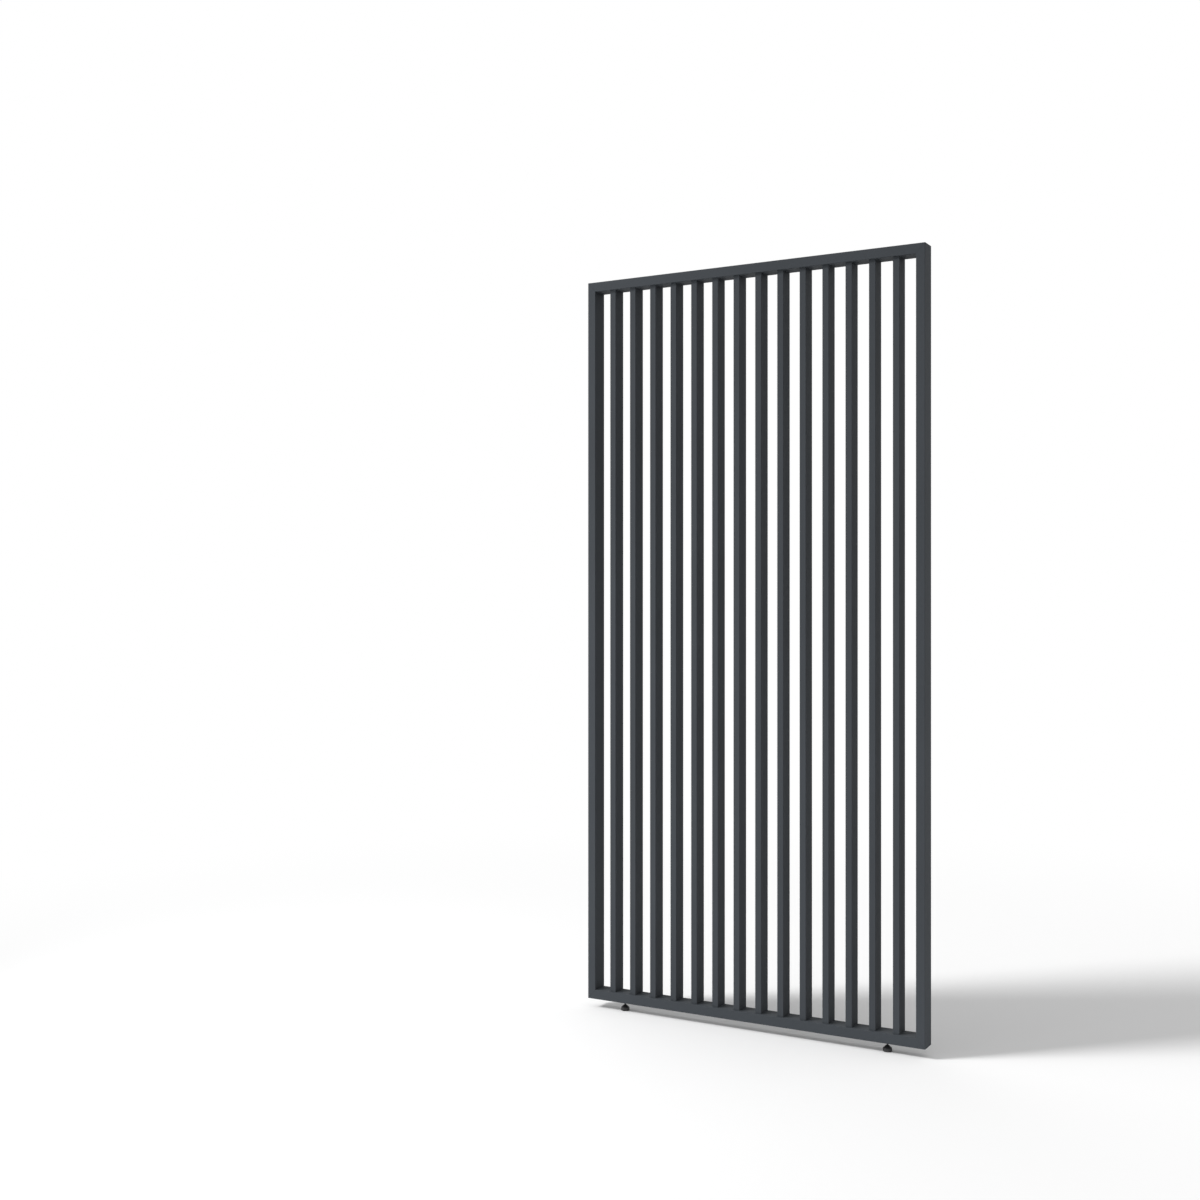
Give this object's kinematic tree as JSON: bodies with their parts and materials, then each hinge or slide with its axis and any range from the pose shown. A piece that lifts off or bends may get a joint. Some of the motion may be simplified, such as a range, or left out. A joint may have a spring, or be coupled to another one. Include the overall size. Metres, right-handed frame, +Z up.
{
  "type": "louvred pergola wall",
  "caption": "Tall pergola wall panel: upright dark grey slats set back in a mitred rectangular tube frame, on levelling feet, for screening between posts.",
  "frame": {"origin": "on the floor, under the middle of the frame", "axes": "+Z up, +X along the wall to the right as seen from the front, front towards -Y"},
  "size_m": [1.2, 0.063, 2.517],
  "materials": {
    "powder_coat": "matte",
    "bare_aluminium": "satin",
    "zinc_steel": "satin",
    "coated_steel": "matte",
    "black_steel": "satin",
    "black_plastic": "matte",
    "soft_rubber": "matte"
  },
  "bodies": {
    "frame": {"left_stile": "powder_coat", "right_stile": "powder_coat", "top_rail": "powder_coat", "bottom_rail": "powder_coat", "slat_01": "powder_coat", "slat_02": "powder_coat", "slat_03": "powder_coat", "slat_04": "powder_coat", "slat_05": "powder_coat", "slat_06": "powder_coat", "slat_07": "powder_coat", "slat_08": "powder_coat", "slat_09": "powder_coat", "slat_10": "powder_coat", "slat_11": "powder_coat", "slat_12": "powder_coat", "slat_13": "powder_coat", "slat_14": "powder_coat", "bottom_left_corner_key": "bare_aluminium", "bottom_right_corner_key": "bare_aluminium", "top_left_corner_key": "bare_aluminium", "top_right_corner_key": "bare_aluminium", "corner_pins": "coated_steel", "bottom_slat_plugs": "black_plastic", "top_slat_plugs": "black_plastic", "bottom_plug_screws": "zinc_steel", "top_plug_screws": "zinc_steel", "left_foot_insert": "zinc_steel", "right_foot_insert": "zinc_steel"},
    "left_foot": {"left_foot_pad": "black_plastic", "left_foot_sole": "soft_rubber"},
    "left_stud": {"left_foot_stud": "black_steel"},
    "right_foot": {"right_foot_pad": "black_plastic", "right_foot_sole": "soft_rubber"},
    "right_stud": {"right_foot_stud": "black_steel"}
  },
  "joints": [
    {"name": "left_foot_lift", "type": "slide", "parent": "frame", "child": "left_foot", "axis": [0, 0, 1], "range_m": [-0.012, 0.006]},
    {"name": "left_stud_turn", "type": "hinge", "parent": "left_foot", "child": "left_stud", "pos_m": [-0.4695, 0, 0.032], "axis": [0, 0, 1], "range_deg": [-4320, 2160]},
    {"name": "right_foot_lift", "type": "slide", "parent": "frame", "child": "right_foot", "axis": [0, 0, 1], "range_m": [-0.012, 0.006]},
    {"name": "right_stud_turn", "type": "hinge", "parent": "right_foot", "child": "right_stud", "pos_m": [0.4695, 0, 0.032], "axis": [0, 0, 1], "range_deg": [-4320, 2160]}
  ],
  "couplings": [
    {"joint": "left_stud_turn", "follows": "left_foot_lift", "rad_per_m": 6283.2},
    {"joint": "right_stud_turn", "follows": "right_foot_lift", "rad_per_m": 6283.2}
  ]
}
